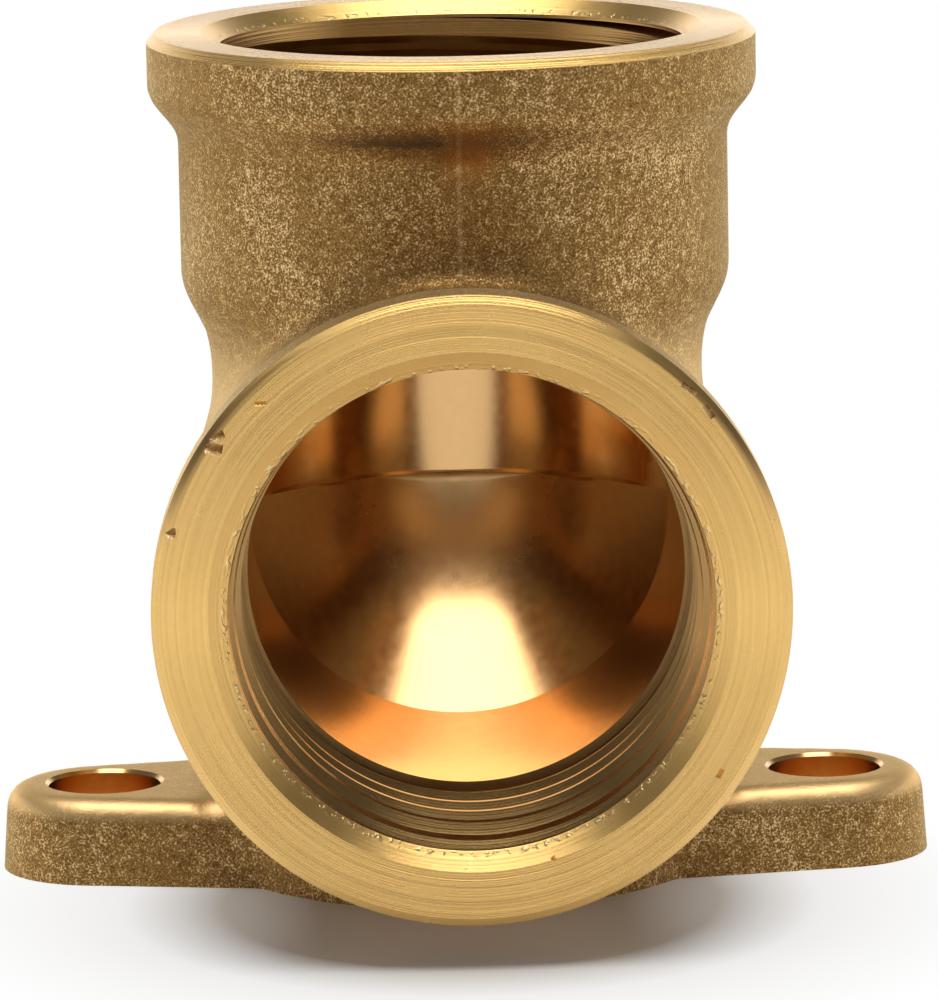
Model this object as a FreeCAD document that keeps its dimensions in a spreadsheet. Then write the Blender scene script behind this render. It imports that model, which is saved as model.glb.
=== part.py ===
"""Wall plate elbow: a one-piece brass casting with two tapped ports and a two-hole wall plate.

The upper port's axis is Z, the plate's underside is z = 0, and the front port looks along -Y.
All lengths are in millimetres.
"""
import FreeCAD, Part
import math
import os

import Sketcher

# Driving dimensions: name, value and what it measures
SIZES = [
    ("tapping_diameter", 18.63, "minor diameter of the G 1/2 thread in both ports"),
    ("thread_depth", 10.2, "port face to the end of the thread"),
    ("lead_in", 1.285, "width of the chamfer at a port's mouth"),
    ("socket_wall", 2.335, "metal outside the thread's minor diameter"),
    ("bead_step", 1.25, "how far a port's thick rim stands out from its socket"),
    ("bead_length", 2.7, "straight part of the rim, from the port face"),
    ("bead_shoulder", 1.6, "length of the cone from the rim to the socket"),
    ("face_chamfer", 0.4, "outer chamfer of a machined port face"),
    ("socket_length", 10.1, "port face to the end of the straight socket"),
    ("socket_shoulder", 3.6, "length of the curve from the upper socket to the neck"),
    ("upper_reach", 21.2, "front port's axis to the upper port's face"),
    ("front_reach", 21.5, "upper port's axis to the front port's face"),
    ("rim_clearance", 1.8, "wall plane to the front port's rim"),
    ("upper_bore_step", 0.315, "how far the plain bore below the upper thread stands in from its minor diameter"),
    ("front_bore_step", 0.265, "the same step behind the front thread"),
    ("neck_wall", 1.45, "metal round the upper bore"),
    ("end_inner_diameter", 7.3, "shallow inner cone of the front bore's end"),
    ("end_inner_depth", 1.2, "height of that cone"),
    ("end_middle_diameter", 12.2, "middle cone of the front bore's end"),
    ("end_middle_depth", 1.5, "height of that cone"),
    ("end_outer_depth", 3.1, "height of the outer cone of the front bore's end"),
    ("drill_point", 5.4, "height of the drill point at the upper bore's end"),
    ("plate_thickness", 3.6, "wall plate"),
    ("plate_centre_radius", 7.1, "plate outline at its middle"),
    ("plate_draft", 4.0, "slope of the plate's sides in degrees"),
    ("plate_edge_radius", 0.9, "rounding of the plate's upper edge"),
    ("root_radius", 1.4, "casting radius where the ears leave the column"),
    ("ear_wall", 2.0, "metal round a screw hole"),
    ("hole_diameter", 4.8, "screw holes"),
    ("hole_spacing", 31.0, "between the centres of the screw holes"),
]

# Sizes that follow from the driving dimensions
TAPPING_RADIUS = "Sizes.tapping_diameter / 2"
SOCKET_RADIUS = f"({TAPPING_RADIUS} + Sizes.socket_wall)"
BEAD_RADIUS = f"({SOCKET_RADIUS} + Sizes.bead_step)"
MOUTH_RADIUS = f"({TAPPING_RADIUS} + Sizes.lead_in)"
UPPER_BORE_RADIUS = f"({TAPPING_RADIUS} - Sizes.upper_bore_step)"
FRONT_BORE_RADIUS = f"({TAPPING_RADIUS} - Sizes.front_bore_step)"
NECK_RADIUS = f"({UPPER_BORE_RADIUS} + Sizes.neck_wall)"
AXIS_HEIGHT = f"({BEAD_RADIUS} + Sizes.rim_clearance)"
OVERALL_HEIGHT = f"({AXIS_HEIGHT} + Sizes.upper_reach)"
EAR_RADIUS = "(Sizes.hole_diameter / 2 + Sizes.ear_wall)"
EAR_OFFSET = "Sizes.hole_spacing / 2"
ZERO = "0"

# Roundings are limited by the metal beside them
EDGE_SHARE = 0.6
EDGE_RADIUS = f"min(Sizes.plate_edge_radius; {EDGE_SHARE} * Sizes.ear_wall; {EDGE_SHARE} * Sizes.plate_thickness)"
EAR_ROOT_RADIUS = "min(Sizes.root_radius; Sizes.plate_thickness / 2)"

# How a run of a turned profile goes to the next corner
STRAIGHT = "straight"
SHOULDER = "shoulder"
BALL = "ball"

# Where an edge is probed along its length, and how near counts as lying on a surface
PROBE_SHARES = (0.2, 0.5, 0.8)
TOUCHING = 1e-4

# Sketch references: point positions on a curve, and the sketch's own axes and origin
START, END, CENTRE = range(1, 4)
AXIS_X, AXIS_Y = range(-1, -3, -1)
ORIGIN = (AXIS_X, START)

doc = FreeCAD.newDocument("wall_plate_elbow")

sheet = doc.addObject("Spreadsheet::Sheet", "Sizes")
for row, (alias, number, meaning) in enumerate(SIZES, start=1):
    sheet.set(f"A{row}", alias)
    sheet.set(f"B{row}", str(number))
    sheet.set(f"C{row}", meaning)
    sheet.setAlias(f"B{row}", alias)
doc.recompute()

body = doc.addObject("PartDesign::Body", "elbow_body")
body.Label = "elbow_body"


def value(expression):
    """What an expression of the sizes comes to."""
    return float(sheet.evalExpression(expression))


def new_sketch(name, role, height=ZERO, angle=0.0):
    """A sketch on one of the body's origin planes, raised along its normal and turned about it."""
    plane = next(feature for feature in body.Origin.OriginFeatures if feature.Role == role)
    sketch = body.newObject("Sketcher::SketchObject", name)
    sketch.AttachmentSupport = (plane, [""])
    sketch.MapMode = "FlatFace"
    spin = FreeCAD.Rotation(FreeCAD.Vector(0, 0, 1), angle)
    sketch.AttachmentOffset = FreeCAD.Placement(FreeCAD.Vector(0, 0, 0), spin)
    sketch.setExpression("AttachmentOffset.Base.z", height)
    return sketch


def add_line(sketch, start, end):
    return sketch.addGeometry(Part.LineSegment(FreeCAD.Vector(*start, 0), FreeCAD.Vector(*end, 0)), False)


def add_arc(sketch, centre, radius, first, last):
    """A counter-clockwise arc between two angles in radians."""
    circle = Part.Circle(FreeCAD.Vector(*centre, 0), FreeCAD.Vector(0, 0, 1), radius)
    return sketch.addGeometry(Part.ArcOfCircle(circle, first, last), False)


def arc_end(sketch, geometry, position):
    spot = sketch.getPoint(geometry, position)
    return (spot.x, spot.y)


def tie(sketch, kind, *where):
    sketch.addConstraint(Sketcher.Constraint(kind, *where))


def drive(sketch, kind, expression, *where):
    """A dimension whose value is an expression of the sizes."""
    index = sketch.addConstraint(Sketcher.Constraint(kind, *where, value(expression)))
    sketch.setExpression(f"Constraints[{index}]", expression)


def place_corner(sketch, spot, across, along):
    """Set one point of a sketch at two expressions from its origin."""
    if across == ZERO:
        tie(sketch, "PointOnObject", *spot, AXIS_Y)
    else:
        drive(sketch, "DistanceX", across, *ORIGIN, *spot)
    if along == ZERO:
        tie(sketch, "PointOnObject", *spot, AXIS_X)
    else:
        drive(sketch, "DistanceY", along, *ORIGIN, *spot)


def add_shoulder(sketch, upper, lower):
    """Two equal arcs that lead from one radius to another, upright at both ends."""
    drop = upper[1] - lower[1]
    step = upper[0] - lower[0]
    side = math.copysign(1.0, step)
    radius = (drop**2 + step**2) / (4 * abs(step))
    sweep = math.asin(drop / (2 * radius))
    upper_centre = (upper[0] - side * radius, upper[1])
    lower_centre = (lower[0] + side * radius, lower[1])
    if step > 0:
        first = (add_arc(sketch, upper_centre, radius, -sweep, 0), END, START)
        second = (add_arc(sketch, lower_centre, radius, math.pi - sweep, math.pi), START, END)
    else:
        first = (add_arc(sketch, upper_centre, radius, math.pi, math.pi + sweep), START, END)
        second = (add_arc(sketch, lower_centre, radius, 0, sweep), END, START)
    tie(sketch, "Tangent", first[0], first[2], second[0], second[1])
    tie(sketch, "Equal", first[0], second[0])
    return [first, second]


def add_ball(sketch, upper, lower):
    """A quarter circle from a radius at the bend's centre to the axis beyond it."""
    return [(add_arc(sketch, (lower[0], upper[1]), upper[0], -math.pi / 2, 0), END, START)]


def turned_profile(sketch, corners):
    """A closed half-section: each corner is (radius, height, how its run goes to the next corner)."""
    places = [(value(across), value(along)) for across, along, _ in corners]
    runs = []
    for index, (_, _, kind) in enumerate(corners):
        start = places[index]
        end = places[(index + 1) % len(places)]
        if kind == SHOULDER:
            runs.append(add_shoulder(sketch, start, end))
        elif kind == BALL:
            runs.append(add_ball(sketch, start, end))
        else:
            runs.append([(add_line(sketch, start, end), START, END)])
    for index, (across, along, kind) in enumerate(corners):
        before = runs[index - 1][-1]
        after = runs[index][0]
        smooth = SHOULDER in (kind, corners[index - 1][2]) or kind == BALL
        tie(sketch, "Tangent" if smooth else "Coincident", before[0], before[2], after[0], after[1])
        place_corner(sketch, (after[0], after[1]), across, along)


def turn(kind, name, sketch):
    """Revolve a half-section about its sketch's upright axis, to add metal or to cut it."""
    feature = body.newObject(kind, name)
    feature.Profile = (sketch, [""])
    feature.ReferenceAxis = (sketch, ["V_Axis"])
    feature.Angle = 360
    sketch.Visibility = False
    doc.recompute()
    return feature


def junction_edges(shape, first, second):
    """Names of the edges of a shape that lie on the surfaces of two of the solids it was fused from."""
    skins = [Part.makeCompound(solid.Faces) for solid in (first, second)]
    names = []
    for number, edge in enumerate(shape.Edges, start=1):
        span = edge.LastParameter - edge.FirstParameter
        spots = [Part.Vertex(edge.valueAt(edge.FirstParameter + share * span)) for share in PROBE_SHARES]
        if all(skin.distToShape(spot)[0] < TOUCHING for skin in skins for spot in spots):
            names.append(f"Edge{number}")
    return names


def below(face, *drops):
    """A height under a port face."""
    return f"{face} - " + " - ".join(f"Sizes.{drop}" for drop in drops)


def port_outside(face):
    """The corners shared by both ports: machined face, rim and the top of the socket."""
    return [
        (ZERO, face, STRAIGHT),
        (f"{BEAD_RADIUS} - Sizes.face_chamfer", face, STRAIGHT),
        (BEAD_RADIUS, below(face, "face_chamfer"), STRAIGHT),
        (BEAD_RADIUS, below(face, "bead_length"), STRAIGHT),
        (SOCKET_RADIUS, below(face, "bead_length", "bead_shoulder"), STRAIGHT),
    ]


def port_inside(face, bore_radius):
    """The corners shared by both ports: lead-in chamfer, tapping bore and the top of the plain bore."""
    return [
        (ZERO, face, STRAIGHT),
        (MOUTH_RADIUS, face, STRAIGHT),
        (TAPPING_RADIUS, below(face, "lead_in"), STRAIGHT),
        (TAPPING_RADIUS, below(face, "thread_depth"), STRAIGHT),
        (bore_radius, below(face, "thread_depth"), STRAIGHT),
    ]


# Wall plate: a lozenge round two screw ears, with drafted sides and a rounded upper edge
plate_sketch = new_sketch("plate_outline", "XY_Plane")
ear_x = value(EAR_OFFSET)
ear_r = value(EAR_RADIUS)
middle_r = value("Sizes.plate_centre_radius")
lean = math.asin((middle_r - ear_r) / ear_x)
quarter = math.pi / 2
right_ear = add_arc(plate_sketch, (ear_x, 0), ear_r, lean - quarter, quarter - lean)
back_middle = add_arc(plate_sketch, (0, 0), middle_r, quarter - lean, quarter + lean)
left_ear = add_arc(plate_sketch, (-ear_x, 0), ear_r, quarter + lean, 3 * quarter - lean)
front_middle = add_arc(plate_sketch, (0, 0), middle_r, 3 * quarter - lean, 3 * quarter + lean)
outline = [right_ear, back_middle, left_ear, front_middle]

for index, before in enumerate(outline):
    after = outline[(index + 1) % len(outline)]
    side = add_line(plate_sketch, arc_end(plate_sketch, before, END), arc_end(plate_sketch, after, START))
    tie(plate_sketch, "Tangent", before, END, side, START)
    tie(plate_sketch, "Tangent", side, END, after, START)
for ear, direction in ((right_ear, 1), (left_ear, -1)):
    tie(plate_sketch, "PointOnObject", ear, CENTRE, AXIS_X)
    drive(plate_sketch, "DistanceX", f"{direction} * {EAR_OFFSET}", *ORIGIN, ear, CENTRE)
    drive(plate_sketch, "Radius", EAR_RADIUS, ear)
for middle in (back_middle, front_middle):
    tie(plate_sketch, "Coincident", middle, CENTRE, *ORIGIN)
    drive(plate_sketch, "Radius", "Sizes.plate_centre_radius", middle)
doc.recompute()

plate = body.newObject("PartDesign::Pad", "plate")
plate.Profile = (plate_sketch, [""])
plate.setExpression("Length", "Sizes.plate_thickness")
plate.setExpression("TaperAngle", "-Sizes.plate_draft")
plate_sketch.Visibility = False
doc.recompute()

top_face = max(range(len(plate.Shape.Faces)), key=lambda index: plate.Shape.Faces[index].CenterOfMass.z)
plate_edge = body.newObject("PartDesign::Fillet", "plate_edge")
plate_edge.Base = (plate, [f"Face{top_face + 1}"])
plate_edge.setExpression("Radius", EDGE_RADIUS)
doc.recompute()

# Upper leg: a round column rises from the wall plane into the neck, socket and rim of the upper port
upper_sketch = new_sketch("upper_outside", "XZ_Plane")
turned_profile(upper_sketch, port_outside(OVERALL_HEIGHT) + [
    (SOCKET_RADIUS, below(OVERALL_HEIGHT, "socket_length"), SHOULDER),
    (NECK_RADIUS, below(OVERALL_HEIGHT, "socket_length", "socket_shoulder"), STRAIGHT),
    (NECK_RADIUS, ZERO, STRAIGHT),
    (ZERO, ZERO, STRAIGHT),
])
upper_leg = turn("PartDesign::Revolution", "upper_leg", upper_sketch)
ear_roots = body.newObject("PartDesign::Fillet", "ear_roots")
ear_roots.Base = (upper_leg, junction_edges(upper_leg.Shape, plate_edge.Shape, upper_leg.AddSubShape))
ear_roots.setExpression("Radius", EAR_ROOT_RADIUS)
doc.recompute()

# Front leg: the same port lying level, its socket ending in the ball of the bend behind the column's axis
HALF_TURN = 180.0
front_sketch = new_sketch("front_outside", "XY_Plane", AXIS_HEIGHT, HALF_TURN)
turned_profile(front_sketch, port_outside("Sizes.front_reach") + [
    (SOCKET_RADIUS, ZERO, BALL),
    (ZERO, f"-{SOCKET_RADIUS}", STRAIGHT),
])
front_leg = turn("PartDesign::Revolution", "front_leg", front_sketch)

# Upper port: lead-in, tapping bore and plain bore down to a drill point in the bend
upper_cut = new_sketch("upper_inside", "XZ_Plane")
turned_profile(upper_cut, port_inside(OVERALL_HEIGHT, UPPER_BORE_RADIUS) + [
    (UPPER_BORE_RADIUS, AXIS_HEIGHT, STRAIGHT),
    (ZERO, f"{AXIS_HEIGHT} - Sizes.drill_point", STRAIGHT),
])
upper_port = turn("PartDesign::Groove", "upper_port", upper_cut)

# Front port: the same, ending in the three cones that its form tool leaves in the ball of the bend
END_DEPTH = FRONT_BORE_RADIUS
front_cut = new_sketch("front_inside", "XY_Plane", AXIS_HEIGHT, HALF_TURN)
turned_profile(front_cut, port_inside("Sizes.front_reach", FRONT_BORE_RADIUS) + [
    (FRONT_BORE_RADIUS,
     f"Sizes.end_inner_depth + Sizes.end_middle_depth + Sizes.end_outer_depth - {END_DEPTH}", STRAIGHT),
    ("Sizes.end_middle_diameter / 2", f"Sizes.end_inner_depth + Sizes.end_middle_depth - {END_DEPTH}", STRAIGHT),
    ("Sizes.end_inner_diameter / 2", f"Sizes.end_inner_depth - {END_DEPTH}", STRAIGHT),
    (ZERO, f"-{END_DEPTH}", STRAIGHT),
])
front_port = turn("PartDesign::Groove", "front_port", front_cut)

# Screw holes through the ears
hole_sketch = new_sketch("screw_hole_centres", "XY_Plane")
for direction in (1, -1):
    centre = FreeCAD.Vector(direction * value(EAR_OFFSET), 0, 0)
    ring = hole_sketch.addGeometry(
        Part.Circle(centre, FreeCAD.Vector(0, 0, 1), value("Sizes.hole_diameter / 2")), False)
    tie(hole_sketch, "PointOnObject", ring, CENTRE, AXIS_X)
    drive(hole_sketch, "DistanceX", f"{direction} * {EAR_OFFSET}", *ORIGIN, ring, CENTRE)
    drive(hole_sketch, "Diameter", "Sizes.hole_diameter", ring)
doc.recompute()
screw_holes = body.newObject("PartDesign::Pocket", "screw_holes")
screw_holes.Profile = (hole_sketch, [""])
screw_holes.Type = "ThroughAll"
screw_holes.Midplane = True
hole_sketch.Visibility = False
body.Tip = screw_holes
doc.recompute()

# Nothing is written unless every feature built and each cut took metal away
for item in doc.Objects:
    if "Invalid" in item.State or "Error" in item.State:
        raise RuntimeError(f"{item.Name} did not build: {item.State}")
for cut in (upper_port, front_port, screw_holes):
    if cut.Shape.Volume >= cut.BaseFeature.Shape.Volume:
        raise RuntimeError(f"{cut.Name} cut nothing")
solid = body.Shape
if solid.isNull() or not solid.isValid() or len(solid.Solids) != 1:
    raise RuntimeError("the elbow is not one valid solid")

os.makedirs("parts", exist_ok=True)
solid.exportStep(f"parts/{body.Label}.step")
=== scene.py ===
import math

import bpy
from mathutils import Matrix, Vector


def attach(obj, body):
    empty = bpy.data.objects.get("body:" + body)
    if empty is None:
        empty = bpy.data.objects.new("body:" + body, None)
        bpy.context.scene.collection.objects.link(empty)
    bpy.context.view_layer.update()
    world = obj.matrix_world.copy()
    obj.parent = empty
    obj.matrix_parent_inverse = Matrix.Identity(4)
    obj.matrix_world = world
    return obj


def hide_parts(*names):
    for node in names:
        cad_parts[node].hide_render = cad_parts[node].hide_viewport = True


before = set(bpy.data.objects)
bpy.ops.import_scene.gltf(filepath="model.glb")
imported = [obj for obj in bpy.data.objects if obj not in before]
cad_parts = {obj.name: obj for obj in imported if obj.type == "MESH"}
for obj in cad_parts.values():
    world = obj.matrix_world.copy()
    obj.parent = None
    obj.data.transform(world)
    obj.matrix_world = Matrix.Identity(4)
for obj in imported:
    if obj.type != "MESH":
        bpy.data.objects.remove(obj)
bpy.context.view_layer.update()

# The casting, as it leaves the sand mould: an upright leg that is a column below and a socket with a
# thick rim above, a front leg that ends behind in a ball, and a flat plate with two ears under both.
# It is poured in brass, a little too long at both rims and under the plate, so that faces can be cut.
MM = 0.001
TURN_STEPS = 192
AXIS_HEIGHT = 14.7
FACE_HEIGHT = 35.9
FACE_REACH = 21.5
FACE_STOCK = 0.8
COLUMN_RADIUS = 10.45
SOCKET_RADIUS = 11.65
RIM_RADIUS = 12.9
RIM_LENGTH = 2.25
RIM_CURVE = 2.3
NECK_TOP = 25.8
NECK_CURVE = 3.6
CURVE_STEPS = 12
MERGE_GAP = 0.001 * MM


def soft_step(start, end):
    """Give the corners of an S-shaped step from one radius and height to another."""
    corners = []
    for step in range(CURVE_STEPS + 1):
        share = step / CURVE_STEPS
        swing = (1 - math.cos(math.pi * share)) / 2
        radius = start[0] + (end[0] - start[0]) * swing
        corners.append((radius, start[1] + (end[1] - start[1]) * share))
    return corners


def draw_section(name, corners):
    """Draw half a section beside Z, corner by corner in millimetres, and stay in edit mode."""
    bpy.ops.object.select_all(action="DESELECT")
    bpy.ops.mesh.primitive_plane_add(size=MM)
    piece = bpy.context.object
    piece.name = name
    bpy.ops.object.mode_set(mode="EDIT")
    bpy.ops.mesh.merge(type="CENTER")
    places = [Vector((radius, 0, height)) * MM for radius, height in corners]
    bpy.ops.transform.translate(value=places[0])
    for here, there in zip(places, places[1:]):
        bpy.ops.mesh.extrude_region_move(TRANSFORM_OT_translate={"value": there - here})
    bpy.ops.mesh.select_all(action="SELECT")
    return piece


def close_skin():
    """Merge what meets and turn all faces outwards."""
    bpy.ops.mesh.select_all(action="SELECT")
    bpy.ops.mesh.remove_doubles(threshold=MERGE_GAP)
    bpy.ops.mesh.normals_make_consistent(inside=False)
    bpy.ops.object.mode_set(mode="OBJECT")


def turned(name, corners):
    """Spin half a section about Z to a solid."""
    piece = draw_section(name, corners)
    bpy.ops.mesh.spin(steps=TURN_STEPS, angle=2 * math.pi, center=(0, 0, 0), axis=(0, 0, 1))
    close_skin()
    return piece


def lay_to_front(piece):
    """Lay a piece that stands on Z along the front port, with its foot on the upright axis."""
    piece.rotation_euler = (math.pi / 2, 0, 0)
    piece.location = (0, 0, AXIS_HEIGHT * MM)
    bpy.ops.object.select_all(action="DESELECT")
    piece.select_set(True)
    bpy.context.view_layer.objects.active = piece
    bpy.ops.object.transform_apply(location=True, rotation=True, scale=True)


def finish_with(piece, kind, **settings):
    """Add a modifier with its settings and apply it."""
    bpy.context.view_layer.objects.active = piece
    modifier = piece.modifiers.new(kind.lower(), kind)
    for name, setting in settings.items():
        setattr(modifier, name, setting)
    bpy.ops.object.modifier_apply(modifier=modifier.name)


def join_or_cut(piece, tool, operation):
    """Join a tool to a piece or cut it out, and put the tool away."""
    finish_with(
        piece, "BOOLEAN", object=tool, operation=operation, solver="MANIFOLD", material_mode="INDEX",
    )
    bpy.data.objects.remove(tool)


def rim(reach):
    """Give the corners of a socket's rim, up to the stock on its face."""
    shoulder = reach - RIM_LENGTH
    step = soft_step((SOCKET_RADIUS, shoulder - RIM_CURVE), (RIM_RADIUS, shoulder))
    return step + [(RIM_RADIUS, reach + FACE_STOCK), (0, reach + FACE_STOCK)]


neck = soft_step((COLUMN_RADIUS, NECK_TOP - NECK_CURVE), (SOCKET_RADIUS, NECK_TOP))
elbow = turned("elbow", [(0, -FACE_STOCK), (COLUMN_RADIUS, -FACE_STOCK)] + neck + rim(FACE_HEIGHT))
BALL_STEPS = 40
ball = []
for step in range(BALL_STEPS + 1):
    turn = math.pi / 2 * (step / BALL_STEPS - 1)
    ball.append((SOCKET_RADIUS * math.cos(turn), SOCKET_RADIUS * math.sin(turn)))
front_leg = turned("front_leg", ball + rim(FACE_REACH))
lay_to_front(front_leg)

PLATE_THICKNESS = 3.6
PLATE_DRAFT = math.radians(4)
PLATE_EDGE = 0.9
EDGE_STEPS = 5
EAR_PLACE = 15.5
EAR_RADIUS = 4.4
MIDDLE_RADIUS = 7.1
FLAT_ANGLE = math.radians(0.5)
TOP_MARGIN = 0.01
taper = math.tan(PLATE_DRAFT)
bpy.ops.object.select_all(action="DESELECT")
rounds = []
for place, radius in ((0, MIDDLE_RADIUS), (-EAR_PLACE, EAR_RADIUS), (EAR_PLACE, EAR_RADIUS)):
    bpy.ops.mesh.primitive_cone_add(
        vertices=TURN_STEPS // 2,
        radius1=(radius + FACE_STOCK * taper) * MM,
        radius2=(radius - PLATE_THICKNESS * taper) * MM,
        depth=(PLATE_THICKNESS + FACE_STOCK) * MM,
        location=(place * MM, 0, (PLATE_THICKNESS - FACE_STOCK) / 2 * MM),
    )
    rounds.append(bpy.context.object)
for item in rounds:
    item.select_set(True)
plate = rounds[0]
bpy.context.view_layer.objects.active = plate
bpy.ops.object.join()
bpy.ops.object.transform_apply(location=True, rotation=True, scale=True)
bpy.ops.object.mode_set(mode="EDIT")
bpy.ops.mesh.select_all(action="SELECT")
bpy.ops.mesh.convex_hull()
bpy.ops.mesh.select_all(action="SELECT")
bpy.ops.mesh.dissolve_limited(angle_limit=FLAT_ANGLE)
bpy.ops.mesh.select_all(action="DESELECT")
bpy.ops.object.mode_set(mode="OBJECT")
plate_top = (PLATE_THICKNESS - TOP_MARGIN) * MM
for edge in plate.data.edges:
    edge.select = all(plate.data.vertices[corner].co.z > plate_top for corner in edge.vertices)
bpy.ops.object.mode_set(mode="EDIT")
bpy.ops.mesh.select_mode(type="EDGE")
bpy.ops.mesh.bevel(offset=PLATE_EDGE * MM, segments=EDGE_STEPS, affect="EDGES")
bpy.ops.mesh.select_mode(type="VERT")
bpy.ops.object.mode_set(mode="OBJECT")
join_or_cut(elbow, front_leg, "UNION")
join_or_cut(elbow, plate, "UNION")

# The mould's corners are soft: sand can't hold a sharp edge, so the brass legs run into each other and
# into the ears in a radius. The whole skin gets even facets first, and those near a corner are eased.
SKIN_STEP = 0.28
ROOT_WIDTH = 1.9
ROOT_PASSES = 45
ROOT_PULL = 0.5
EAR_ROOT_FOOT = 0.6
EAR_ROOT_SIDE = 7.0
finish_with(elbow, "REMESH", mode="VOXEL", voxel_size=SKIN_STEP * MM, use_smooth_shade=True)


def off_upright(place):
    """Give how far a place stands outside the upright leg, in millimetres."""
    share = min(max((place.z - NECK_TOP + NECK_CURVE) / NECK_CURVE, 0.0), 1.0)
    wall = COLUMN_RADIUS + (SOCKET_RADIUS - COLUMN_RADIUS) * (1 - math.cos(math.pi * share)) / 2
    return math.hypot(place.x, place.y) - wall


def off_front(place):
    """Give how far a place stands outside the front leg and its ball, in millimetres."""
    return math.hypot(place.x, max(place.y, 0.0), place.z - AXIS_HEIGHT) - SOCKET_RADIUS


bpy.context.view_layer.objects.active = elbow
bpy.ops.object.mode_set(mode="EDIT")
bpy.ops.mesh.select_mode(type="VERT")
bpy.ops.mesh.select_all(action="DESELECT")
bpy.ops.object.mode_set(mode="OBJECT")
for vertex in elbow.data.vertices:
    spot = vertex.co / MM
    by_column = abs(off_upright(spot)) < ROOT_WIDTH
    by_front = abs(off_front(spot)) < ROOT_WIDTH
    by_ear = EAR_ROOT_FOOT < spot.z < PLATE_THICKNESS + ROOT_WIDTH and abs(spot.y) < EAR_ROOT_SIDE
    vertex.select = by_column and (by_front or by_ear) and spot.z > EAR_ROOT_FOOT
bpy.ops.object.mode_set(mode="EDIT")
bpy.ops.mesh.vertices_smooth(factor=ROOT_PULL, repeat=ROOT_PASSES)
bpy.ops.object.mode_set(mode="OBJECT")

# The skin that the sand leaves on the brass is brown and grainy. A band round the foot at the height of
# the ears' top edge is painted pale as a highlight, and the neck's left and right sides get a painted
# highlight too. The corner under the upper rim is a groove with painted shade in it, strongest just left
# of the mould's parting line, with an orange bloom, and a faint line shows where the mould's halves met.
SKIN_DARK = (0.16, 0.078, 0.02)
SKIN_MID = (0.5, 0.285, 0.088)
SKIN_PALE = (0.92, 0.66, 0.33)
# colour of the painted highlight on the band at the ears' top edge
SKIN_HIGHLIGHT = (1.0, 0.67, 0.3)
SKIN_BLOOM = (0.42, 0.17, 0.03)
# colour of the painted shade in the crease under the upper rim
SKIN_CREASE_SHADE = (0.06, 0.026, 0.01)
GRAIN_SIZE = 0.085
PIT_SIZE = 0.35
PATCH_SIZE = 5.0
GRAIN_HEIGHT = 0.05
CREASE_HEIGHT = 32.5
CREASE_WIDTH = 0.5
CREASE_SPAN = 12.0
BLOOM_HEIGHT = 32.0
BLOOM_RISE = 2.2
BLOOM_SIDE = 0.4
BLOOM_WIDTH = 1.9
# height and reach of the painted highlight on the neck's sides
NECK_HEIGHT = 20.0
NECK_RISE = 5.0
PARTING_WIDTH = 0.16
# height and half width of the painted highlight band round the foot
HIGHLIGHT_HEIGHT = 3.3
HIGHLIGHT_WIDTH = 0.75
# strength of the painted crease shade from left to right, strongest just left of the parting line
CREASE_SHADE_STOPS = ((0.0, 0.0), (0.25, 0.9), (0.44, 1.0), (0.455, 0.3), (0.9, 0.0))
SPECK_STOPS = ((0.35, 0.0), (0.66, 1.0))
PALE_STOPS = ((0.72, 0.0), (1.0, 1.0))
DUST = {
    "Sheen Weight": 0.55,
    "Sheen Tint": (1.0, 0.78, 0.4, 1.0),
    "Specular Tint": (1.0, 0.88, 0.66, 1.0),
}


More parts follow.
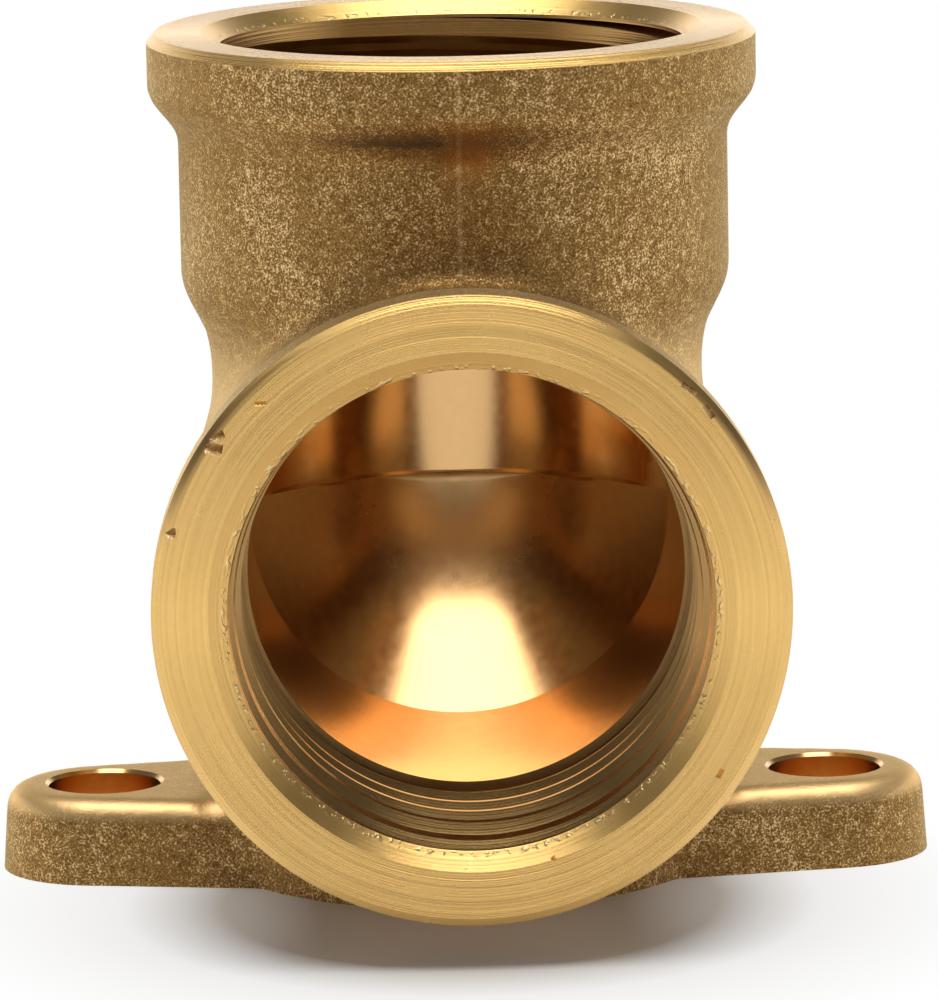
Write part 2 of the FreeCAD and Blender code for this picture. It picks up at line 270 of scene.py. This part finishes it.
class Tint:
    """A socket of a material's nodes; sums and products of sockets add Math nodes."""

    def __init__(self, tree, socket=None):
        self.tree = tree
        self.socket = socket

    def add(self, kind, settings, sockets, output=0):
        """Add a node: its type, its settings, then the values or links of its sockets."""
        node = self.tree.nodes.new(kind)
        for name, setting in settings.items():
            if name == "stops":
                ramp = node.color_ramp.elements
                while len(ramp) < len(setting):
                    ramp.new(1.0)
                for stop, (position, shade) in zip(ramp, setting):
                    stop.position = position
                    stop.color = (*(shade if isinstance(shade, tuple) else (shade,) * 3), 1.0)
            else:
                setattr(node, name, setting)
        for name, setting in sockets.items():
            if isinstance(setting, Tint):
                self.tree.links.new(setting.socket, node.inputs[name])
            else:
                node.inputs[name].default_value = setting
        return Tint(self.tree, node.outputs[output]) if node.outputs else node

    def maths(self, operation, first, second=0.0):
        """Work out one sum of two values."""
        return self.add("ShaderNodeMath", {"operation": operation}, {0: first, 1: second})

    def __add__(self, other):
        return self.maths("ADD", self, other)

    def __radd__(self, other):
        return self.maths("ADD", other, self)

    def __sub__(self, other):
        return self.maths("SUBTRACT", self, other)

    def __rsub__(self, other):
        return self.maths("SUBTRACT", other, self)

    def __mul__(self, other):
        return self.maths("MULTIPLY", self, other)

    def __rmul__(self, other):
        return self.maths("MULTIPLY", other, self)

    def along(self, axis):
        """Give one part of a vector, in millimetres."""
        return self.add("ShaderNodeSeparateXYZ", {}, {"Vector": self}, axis) * (1 / MM)

    def ramp(self, *stops):
        """Run a value over stops of grey or colour."""
        return self.add("ShaderNodeValToRGB", {"stops": stops}, {"Fac": self})

    def near(self, centre, width):
        """Give 1 at a value, falling to 0 a width away from it."""
        away = self.maths("ABSOLUTE", self - centre) * (1 / width)
        return self.add("ShaderNodeMapRange", {"interpolation_type": "SMOOTHSTEP"},
                        {"Value": away, "From Min": 0.0, "From Max": 1.0, "To Min": 1.0, "To Max": 0.0})

    def ramp_between(self, low, high):
        """Give 0 up to a low value, rising to 1 at a high one."""
        return self.add("ShaderNodeMapRange", {}, {"Value": self, "From Min": low, "From Max": high})

    def cloud(self, size, detail=2.0):
        """Give noise whose grains are about a size across, in millimetres."""
        sockets = {"Vector": self, "Scale": 1 / (size * MM), "Detail": detail}
        return self.add("ShaderNodeTexNoise", {}, sockets)

    def over(self, first, second):
        """Mix two colours, with this value as the share of the second."""
        colours = {name: colour if isinstance(colour, Tint) else (*colour, 1.0)
                   for name, colour in ((6, first), (7, second))}
        return self.add("ShaderNodeMix", {"data_type": "RGBA"}, {"Factor": self, **colours}, 2)

    def bump(self, height):
        """Turn a value into a normal, where 1 stands a height proud, in millimetres."""
        sockets = {"Strength": 1.0, "Distance": height * MM, "Height": self}
        return self.add("ShaderNodeBump", {}, sockets, "Normal")


def start_finish(name):
    """Start a material; give it with the coordinates of the surface."""
    material = bpy.data.materials.new(name)
    material.use_nodes = True
    material.node_tree.nodes.clear()
    return material, Tint(material.node_tree).add("ShaderNodeTexCoord", {}, {}, "Object")


def end_finish(place, colour, roughness, normal, dust=None):
    """End a material on one metal shader, with a dusty sheen where it is given."""
    sockets = {"Base Color": colour, "Roughness": roughness, "Normal": normal, "Metallic": 1.0}
    shader = place.add("ShaderNodeBsdfPrincipled", {}, {**sockets, **(dust or {})})
    place.add("ShaderNodeOutputMaterial", {}, {"Surface": shader})


cast_skin, place = start_finish("cast_skin")
grain = place.cloud(GRAIN_SIZE, 3.0)
pits = place.cloud(PIT_SIZE)
patches = place.cloud(PATCH_SIZE)
across, height = place.along("X"), place.along("Z")
# The crease under the upper rim is a groove, with painted shade in its colour.
crease_shade_share = (across * (1 / CREASE_SPAN) + 0.5).ramp(*CREASE_SHADE_STOPS)
crease = height.near(CREASE_HEIGHT, CREASE_WIDTH) * crease_shade_share
bloom = height.near(BLOOM_HEIGHT, BLOOM_RISE) * across.near(BLOOM_SIDE, BLOOM_WIDTH)
parting = across.near(0.0, PARTING_WIDTH)
speck = (grain * 0.75 + pits * 0.25).ramp(*SPECK_STOPS)
skin = speck.over(SKIN_DARK, SKIN_MID)
skin = (speck * 0.7 + patches * 0.6).ramp(*PALE_STOPS).over(skin, SKIN_PALE)
skin = (bloom * (0.3 + patches)).over(skin, SKIN_BLOOM)
# painted shade in the crease under the upper rim
skin = (crease * 0.8).over(skin, SKIN_CREASE_SHADE)
# A band at the height of the ears' top edge is painted pale as a highlight, with less relief and
# roughness.
highlight_band = height.near(HIGHLIGHT_HEIGHT, HIGHLIGHT_WIDTH)
# The neck's left and right sides are painted paler as a highlight; the parting line is also a little
# paler.
neck_side_highlight = height.near(NECK_HEIGHT, NECK_RISE) * (1.0 - across.near(0.0, COLUMN_RADIUS))
highlight_and_parting = neck_side_highlight * (0.62 + 0.33 * speck)
skin = highlight_and_parting.maths("MAXIMUM", highlight_and_parting, parting * pits * 0.4).over(skin, SKIN_PALE)
skin = highlight_band.over(skin, SKIN_HIGHLIGHT)
relief = (grain * 0.7 + pits * 0.5) * (1.0 - 0.65 * highlight_band) + parting * pits - crease * 1.2
skin_blur = 0.55 - 0.17 * speck * (1.0 - highlight_band) - 0.11 * highlight_band
end_finish(place, skin, skin_blur, relief.bump(GRAIN_HEIGHT), DUST)
elbow.data.materials.clear()
elbow.data.materials.append(cast_skin)

# What the tools cut is clean brass. The faces are yellow, with fine rings where the tool fed across them
# and painted glints on the burrs at the mouth, the reamed bores are smoother and redder, and the lead-ins
# and threads have marks that run round. The threads are painted a darker brass, as shade inside the ports.
FACE_GOLD = (0.97, 0.625, 0.22)
FACE_DEEP = (0.86, 0.535, 0.175)
BORE_COPPER = (0.78, 0.49, 0.215)
BORE_BROWN = (0.74, 0.45, 0.195)
NOSE_PLACE = 8.6
NOSE_WIDTH = 3.0
NOSE_TOP = 0.5
# darker brass for the threads: painted shade for the inside of the ports
THREAD_GOLD = (0.5, 0.31, 0.12)
THREAD_DEEP = (0.34, 0.2, 0.07)
# paler colour of the painted glints on the burrs at the face's inner edge
FACE_GLINT = (0.98, 0.78, 0.42)
MOUTH_RADIUS = 10.6
EDGE_BREAK = 0.36
TARNISH = (0.16, 0.09, 0.035)
TARNISH_RISE = 7.2
TARNISH_SPAN = 5.0
TARNISH_EDGE = 12.45
BURR_RADIUS = 9.97
BURR_WIDTH = 0.17
BURR_SIZE = 0.3
RING_SIZE = 0.07
BAND_SIZE = 0.6
RING_HEIGHT = 0.017
SMEAR_SIZE = 2.2
REAM_SIZE = 0.5
REAM_HEIGHT = 0.0007
UPPER_CUT = 18.0
TONE_STOPS = ((0.35, 0.0), (0.75, 1.0))
BURR_STOPS = ((0.53, 0.0), (0.63, 1.0))
REAM_STOPS = ((0.3, 0.0), (0.7, 1.0))


def off_axis(place):
    """Give the distance from the nearer port's axis, in millimetres."""
    across, depth, height = (place.along(axis) for axis in "XYZ")
    upper = height.maths("GREATER_THAN", height + depth, UPPER_CUT)
    rise = height - AXIS_HEIGHT
    rise = rise + upper * (depth - rise)
    return across.maths("SQRT", across * across + rise * rise)


def rings(place, size):
    """Give noise that runs in rings round the nearer port's axis."""
    turns = off_axis(place) * (1 / size)
    return place.add("ShaderNodeTexNoise", {"noise_dimensions": "1D"}, {"W": turns})


turned_brass, place = start_finish("turned_brass")
fine = rings(place, RING_SIZE)
bands = rings(place, BAND_SIZE)
smear = place.cloud(SMEAR_SIZE)
tone = (bands * 0.5 + fine * 0.25 + smear * 0.35).ramp(*TONE_STOPS)
# Burrs at the face's inner edge: real bumps, with painted glints in a paler colour on them.
burr_glint = off_axis(place).near(BURR_RADIUS, BURR_WIDTH) * place.cloud(BURR_SIZE).ramp(*BURR_STOPS)
left_cast = (place.along("Z") - AXIS_HEIGHT).near(TARNISH_RISE, TARNISH_SPAN)
left_cast = left_cast * off_axis(place).ramp_between(TARNISH_EDGE, RIM_RADIUS - EDGE_BREAK / 2)
flat = place.maths("GREATER_THAN", off_axis(place), MOUTH_RADIUS)
relief = (fine + bands) * (0.3 + 0.7 * flat) + burr_glint * 1.2
face_colour = (burr_glint * 0.6).over(tone.over(FACE_DEEP, FACE_GOLD), FACE_GLINT)
face_colour = (left_cast * 0.9).over(face_colour, TARNISH)
face_blur = 0.2 + 0.12 * smear + 0.2 * left_cast + 0.04 * (1.0 - flat)
end_finish(place, face_colour, face_blur, relief.bump(RING_HEIGHT))
bored_brass, place = start_finish("bored_brass")
reamed = place.cloud(REAM_SIZE)
bore_colour = reamed.ramp(*REAM_STOPS).over(BORE_BROWN, BORE_COPPER)
low = place.maths("LESS_THAN", place.along("Z"), AXIS_HEIGHT + NOSE_TOP)
nose_marks = place.along("Y").near(NOSE_PLACE, NOSE_WIDTH) * low
bore_blur = 0.14 + 0.08 * reamed + 0.13 * nose_marks
end_finish(place, bore_colour, bore_blur, reamed.bump(REAM_HEIGHT))
tapped_brass, place = start_finish("tapped_brass")
fine = rings(place, RING_SIZE)
smear = place.cloud(SMEAR_SIZE)
# the threads' darker colour is painted shade for the inside of the ports
thread_colour = smear.over(THREAD_DEEP, THREAD_GOLD)
end_finish(place, thread_colour, 0.16 + 0.14 * smear, fine.bump(RING_HEIGHT / 3))
for brass in (turned_brass, bored_brass, tapped_brass):
    elbow.data.materials.append(brass)

# Both brass ports are machined with one form tool each: it faces the rim, breaks its outer edge, cuts a
# lead-in, a slight run-in and the wall for the thread, and reams the plain bore. The front tool's nose has
# three cones, given by radius and distance from the tip. The underside is cut flat, to lie on the wall.
TOOL_RADIUS = 15.0
TOOL_LENGTH = 3.0
LEAD_INNER = 9.85
LEAD_DEPTH = 0.6
RUN_IN_DEPTH = 4.2
THREAD_WALL = 9.315
THREAD_DEPTH = 10.2
UPPER_BORE = 9.0
FRONT_BORE = 9.05
NOSE_CONES = ((9.05, 6.05), (6.1, 2.95), (3.65, 1.2), (0, 0.09))
UPPER_END = 0.55
UNDER_SIZE = 60.0
FACED, BORED, TAPPED = 1, 2, 3


def port_tool(name, reach, bore, nose):
    """Turn a form tool, from the middle of its back round to the tip of its nose."""
    lip = EDGE_BREAK * 2
    corners = [(0, reach + TOOL_LENGTH), (TOOL_RADIUS, reach + TOOL_LENGTH), (TOOL_RADIUS, reach - lip)]
    corners += [(RIM_RADIUS - EDGE_BREAK + lip, reach - lip), (RIM_RADIUS - EDGE_BREAK, reach)]
    corners += [(MOUTH_RADIUS, reach), (LEAD_INNER, reach - LEAD_DEPTH)]
    corners += [(THREAD_WALL, reach - RUN_IN_DEPTH), (THREAD_WALL, reach - THREAD_DEPTH)]
    corners.append((bore, reach - THREAD_DEPTH))
    tool = turned(name, corners + nose)
    for face in tool.data.polygons:
        radius = math.hypot(face.center.x, face.center.y) / MM
        depth = reach - face.center.z / MM
        if radius > LEAD_INNER:
            face.material_index = FACED
        else:
            face.material_index = TAPPED if depth < THREAD_DEPTH else BORED
    return tool


upper_end = AXIS_HEIGHT + UPPER_END
upper_tool = port_tool("upper_tool", FACE_HEIGHT, UPPER_BORE, [(UPPER_BORE, upper_end), (0, upper_end)])
front_nose = [(radius, depth - FRONT_BORE) for radius, depth in NOSE_CONES]
front_tool = port_tool("front_tool", FACE_REACH, FRONT_BORE, front_nose)
lay_to_front(front_tool)
bpy.ops.object.select_all(action="DESELECT")
bpy.ops.mesh.primitive_cube_add(size=UNDER_SIZE * MM, location=(0, 0, -UNDER_SIZE / 2 * MM))
under_cut = bpy.context.object
bpy.ops.object.transform_apply(location=True, rotation=True, scale=True)
join_or_cut(elbow, under_cut, "DIFFERENCE")
join_or_cut(elbow, upper_tool, "DIFFERENCE")
join_or_cut(elbow, front_tool, "DIFFERENCE")

# The threads are half-inch pipe threads, cut into the brass with a tap after the bores are reamed. Each is
# a helix of 1.814 mm pitch with sloping flanks, and its crests grow to full height over the run-in.
PITCH = 1.814
CREST = 0.12
ROOT_FLAT = 0.302
THREAD_ROOT = 10.478
TAP_CORE = 9.2
TAP_TURNS = 8
TAP_STEPS = 128
TAP_START = 0.747
TAP_BELOW = 2.37


def tap(name, reach):
    """Draw one tooth, screw it up the axis and cut the ends square."""
    flank = (PITCH - CREST - ROOT_FLAT) / 2
    foot = reach - THREAD_DEPTH - TAP_BELOW
    tool = draw_section(name, [
        (TAP_CORE, foot), (TAP_CORE, foot + CREST), (THREAD_ROOT, foot + CREST + flank),
        (THREAD_ROOT, foot + CREST + flank + ROOT_FLAT), (TAP_CORE, foot + PITCH),
    ])
    bpy.ops.object.mode_set(mode="OBJECT")
    finish_with(
        tool, "SCREW", axis="Z", screw_offset=PITCH * MM, angle=2 * math.pi, iterations=TAP_TURNS,
        steps=TAP_STEPS, render_steps=TAP_STEPS, use_merge_vertices=True, merge_threshold=MERGE_GAP,
    )
    bpy.ops.object.mode_set(mode="EDIT")
    for height, side in ((reach - THREAD_DEPTH, "clear_inner"), (reach - TAP_START, "clear_outer")):
        bpy.ops.mesh.select_all(action="SELECT")
        bpy.ops.mesh.bisect(
            plane_co=(0, 0, height * MM), plane_no=(0, 0, 1), use_fill=True, threshold=MERGE_GAP,
            **{side: True},
        )
    close_skin()
    for face in tool.data.polygons:
        face.material_index = TAPPED
    return tool


upper_tap = tap("upper_tap", FACE_HEIGHT)
front_tap = tap("front_tap", FACE_REACH)
lay_to_front(front_tap)
join_or_cut(elbow, upper_tap, "DIFFERENCE")
join_or_cut(elbow, front_tap, "DIFFERENCE")

# Two screw holes are drilled through the brass ears from above, one in each, for the wall screws. The
# drill leaves clean brass, and the holes' upper edges are just broken.
HOLE_RADIUS = 2.4
HOLE_BREAK = 0.15
DRILL_OVER = 1.0
for side in (-1, 1):
    drill = turned("drill", [
        (0, -DRILL_OVER), (HOLE_RADIUS, -DRILL_OVER), (HOLE_RADIUS, PLATE_THICKNESS - HOLE_BREAK),
        (HOLE_RADIUS + HOLE_BREAK + DRILL_OVER, PLATE_THICKNESS + DRILL_OVER),
        (0, PLATE_THICKNESS + DRILL_OVER),
    ])
    for face in drill.data.polygons:
        face.material_index = BORED
    for vertex in drill.data.vertices:
        vertex.co.x += side * EAR_PLACE * MM
    join_or_cut(elbow, drill, "DIFFERENCE")

# Handling has left nicks: small notches in the front rim's outer edge and scratches on its face. Each is
# a groove across the face at a place right and up of the port's axis, turned, with its length and width.
NICKS = (
    (-10.25, 7.4, 20, 1.0, 0.26), (-10.2, 6.95, -12, 0.7, 0.34), (-8.3, 8.75, 0, 0.45, 0.14),
    (8.87, 9.0, -35, 0.7, 0.24), (9.67, 8.05, -60, 0.6, 0.26), (7.25, 10.4, -40, 0.5, 0.18),
    (-12.25, 3.55, 4, 0.9, 0.3), (12.45, 3.5, -8, 0.6, 0.26), (9.85, -6.75, 60, 0.4, 0.16),
    (-0.3, -10.45, 15, 0.4, 0.16), (3.1, -10.0, 70, 0.35, 0.18),
)
SCRATCH_WIDTH = 0.2
SHARP_ANGLE = math.radians(32)
for right, up, turn, length, width in NICKS:
    bpy.ops.object.select_all(action="DESELECT")
    bpy.ops.mesh.primitive_cube_add(size=MM, rotation=(math.pi / 4, 0, 0))
    groove = bpy.context.object
    bpy.ops.object.transform_apply(location=True, rotation=True, scale=True)
    groove.scale = (length, width, width)
    groove.rotation_euler = (0, math.radians(-turn), 0)
    groove.location = Vector((right, -FACE_REACH, AXIS_HEIGHT + up)) * MM
    bpy.ops.object.transform_apply(location=True, rotation=True, scale=True)
    for face in groove.data.polygons:
        face.material_index = FACED if width < SCRATCH_WIDTH else 0
    join_or_cut(elbow, groove, "DIFFERENCE")
bpy.ops.object.select_all(action="DESELECT")
elbow.select_set(True)
bpy.context.view_layer.objects.active = elbow
bpy.ops.object.shade_smooth_by_angle(angle=SHARP_ANGLE)
finish_with(elbow, "WEIGHTED_NORMAL", keep_sharp=True)
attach(elbow, "root")
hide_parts("elbow_body")

# The elbow stands on a matt white board, which is not part of it. The board fades to plain white away
# from the elbow, also where the brass mirrors it, and keeps the soft shadow close by.
BOARD_SIZE = 4.0
BOARD_WHITE = (0.8, 0.77, 0.73, 1.0)
SHADOW_CENTRE = (0.0, 9.0 * MM, 0.0)
SHADOW_SHAPE = (1 / (32.5 * MM), 1 / (37.5 * MM), 0.0)
FADE_STOPS = ((0.32, 0.0), (0.45, 0.72), (0.72, 1.0))
bpy.ops.mesh.primitive_plane_add(size=BOARD_SIZE)
floor = bpy.context.object
floor.name = "floor"
white_board, place = start_finish("white_board")
away = place.add("ShaderNodeVectorMath", {"operation": "ADD"}, {0: place, 1: SHADOW_CENTRE})
away = away.add("ShaderNodeVectorMath", {"operation": "MULTIPLY"}, {0: away, 1: SHADOW_SHAPE})
fade = away.add("ShaderNodeVectorMath", {"operation": "LENGTH"}, {0: away}, "Value").ramp(*FADE_STOPS)
seen = place.add("ShaderNodeLightPath", {}, {}, "Is Camera Ray")
for ray in ("Is Glossy Ray", "Is Transmission Ray"):
    seen = seen.maths("MAXIMUM", seen, place.add("ShaderNodeLightPath", {}, {}, ray))
matt = place.add("ShaderNodeBsdfDiffuse", {}, {"Color": BOARD_WHITE})
plain = place.add("ShaderNodeEmission", {}, {"Color": (1.0, 1.0, 1.0, 1.0), "Strength": 1.0})
board = place.add("ShaderNodeMixShader", {}, {0: seen * fade, 1: matt, 2: plain})
place.add("ShaderNodeOutputMaterial", {}, {"Surface": board})
floor.data.materials.append(white_board)

# The studio has low white walls at the sides and behind, which the brass mirrors. It is dimmer on the
# camera's side, and dark above but for a wide soft lamp overhead.
WALL_LEVEL = 1.4
FRONT_LEVEL = 0.28
CEILING_LEVEL = 0.14
WALL_TOP = 0.26
CEILING_EDGE = 0.45
FRONT_END = 0.2
SIDE_START = 0.5
LAMP_PLACE = (0.0, -0.04, 0.4)
LAMP_SIZE = 0.36
LAMP_POWER = 1.3
world = bpy.data.worlds.new("studio")
bpy.context.scene.world = world
world.use_nodes = True
world.node_tree.nodes.clear()
sky = Tint(world.node_tree)
look = sky.add("ShaderNodeTexCoord", {}, {}, "Generated")
depth = look.add("ShaderNodeSeparateXYZ", {}, {"Vector": look}, "Y")
rise = look.add("ShaderNodeSeparateXYZ", {}, {"Vector": look}, "Z")
walls = (depth * 0.5 + 0.5).ramp((FRONT_END, FRONT_LEVEL / 2), (SIDE_START, WALL_LEVEL / 2)) * 2.0
above = rise.ramp((WALL_TOP, 0.0), (CEILING_EDGE, 1.0))
room = walls * (1.0 - above) + CEILING_LEVEL * above
seen = sky.add("ShaderNodeLightPath", {}, {}, "Is Camera Ray")
backdrop = seen.over(room, (1.0, 1.0, 1.0))
background = sky.add("ShaderNodeBackground", {}, {"Color": backdrop, "Strength": 1.0})
sky.add("ShaderNodeOutputWorld", {}, {"Surface": background})
bpy.ops.object.light_add(type="AREA", location=LAMP_PLACE)
top_lamp = bpy.context.object
top_lamp.name = "top_lamp"
top_lamp.data.size = LAMP_SIZE
top_lamp.data.energy = LAMP_POWER

# The camera stands a third of a metre in front of the elbow and looks a little down into the front
# port, with a long lens, as the photograph was taken.
EYE = Vector((-6.588, -328.298, 74.088)) * MM
EYE_TURN = (79.8855, 1.0661, -1.4106)
EYE_LENS = 280.587
EYE_SENSOR = 36.0
bpy.ops.object.camera_add(location=EYE, rotation=[math.radians(angle) for angle in EYE_TURN])
camera = bpy.context.object
camera.data.lens = EYE_LENS
camera.data.sensor_width = EYE_SENSOR
bpy.context.scene.camera = camera
bpy.context.scene.view_settings.view_transform = "Standard"
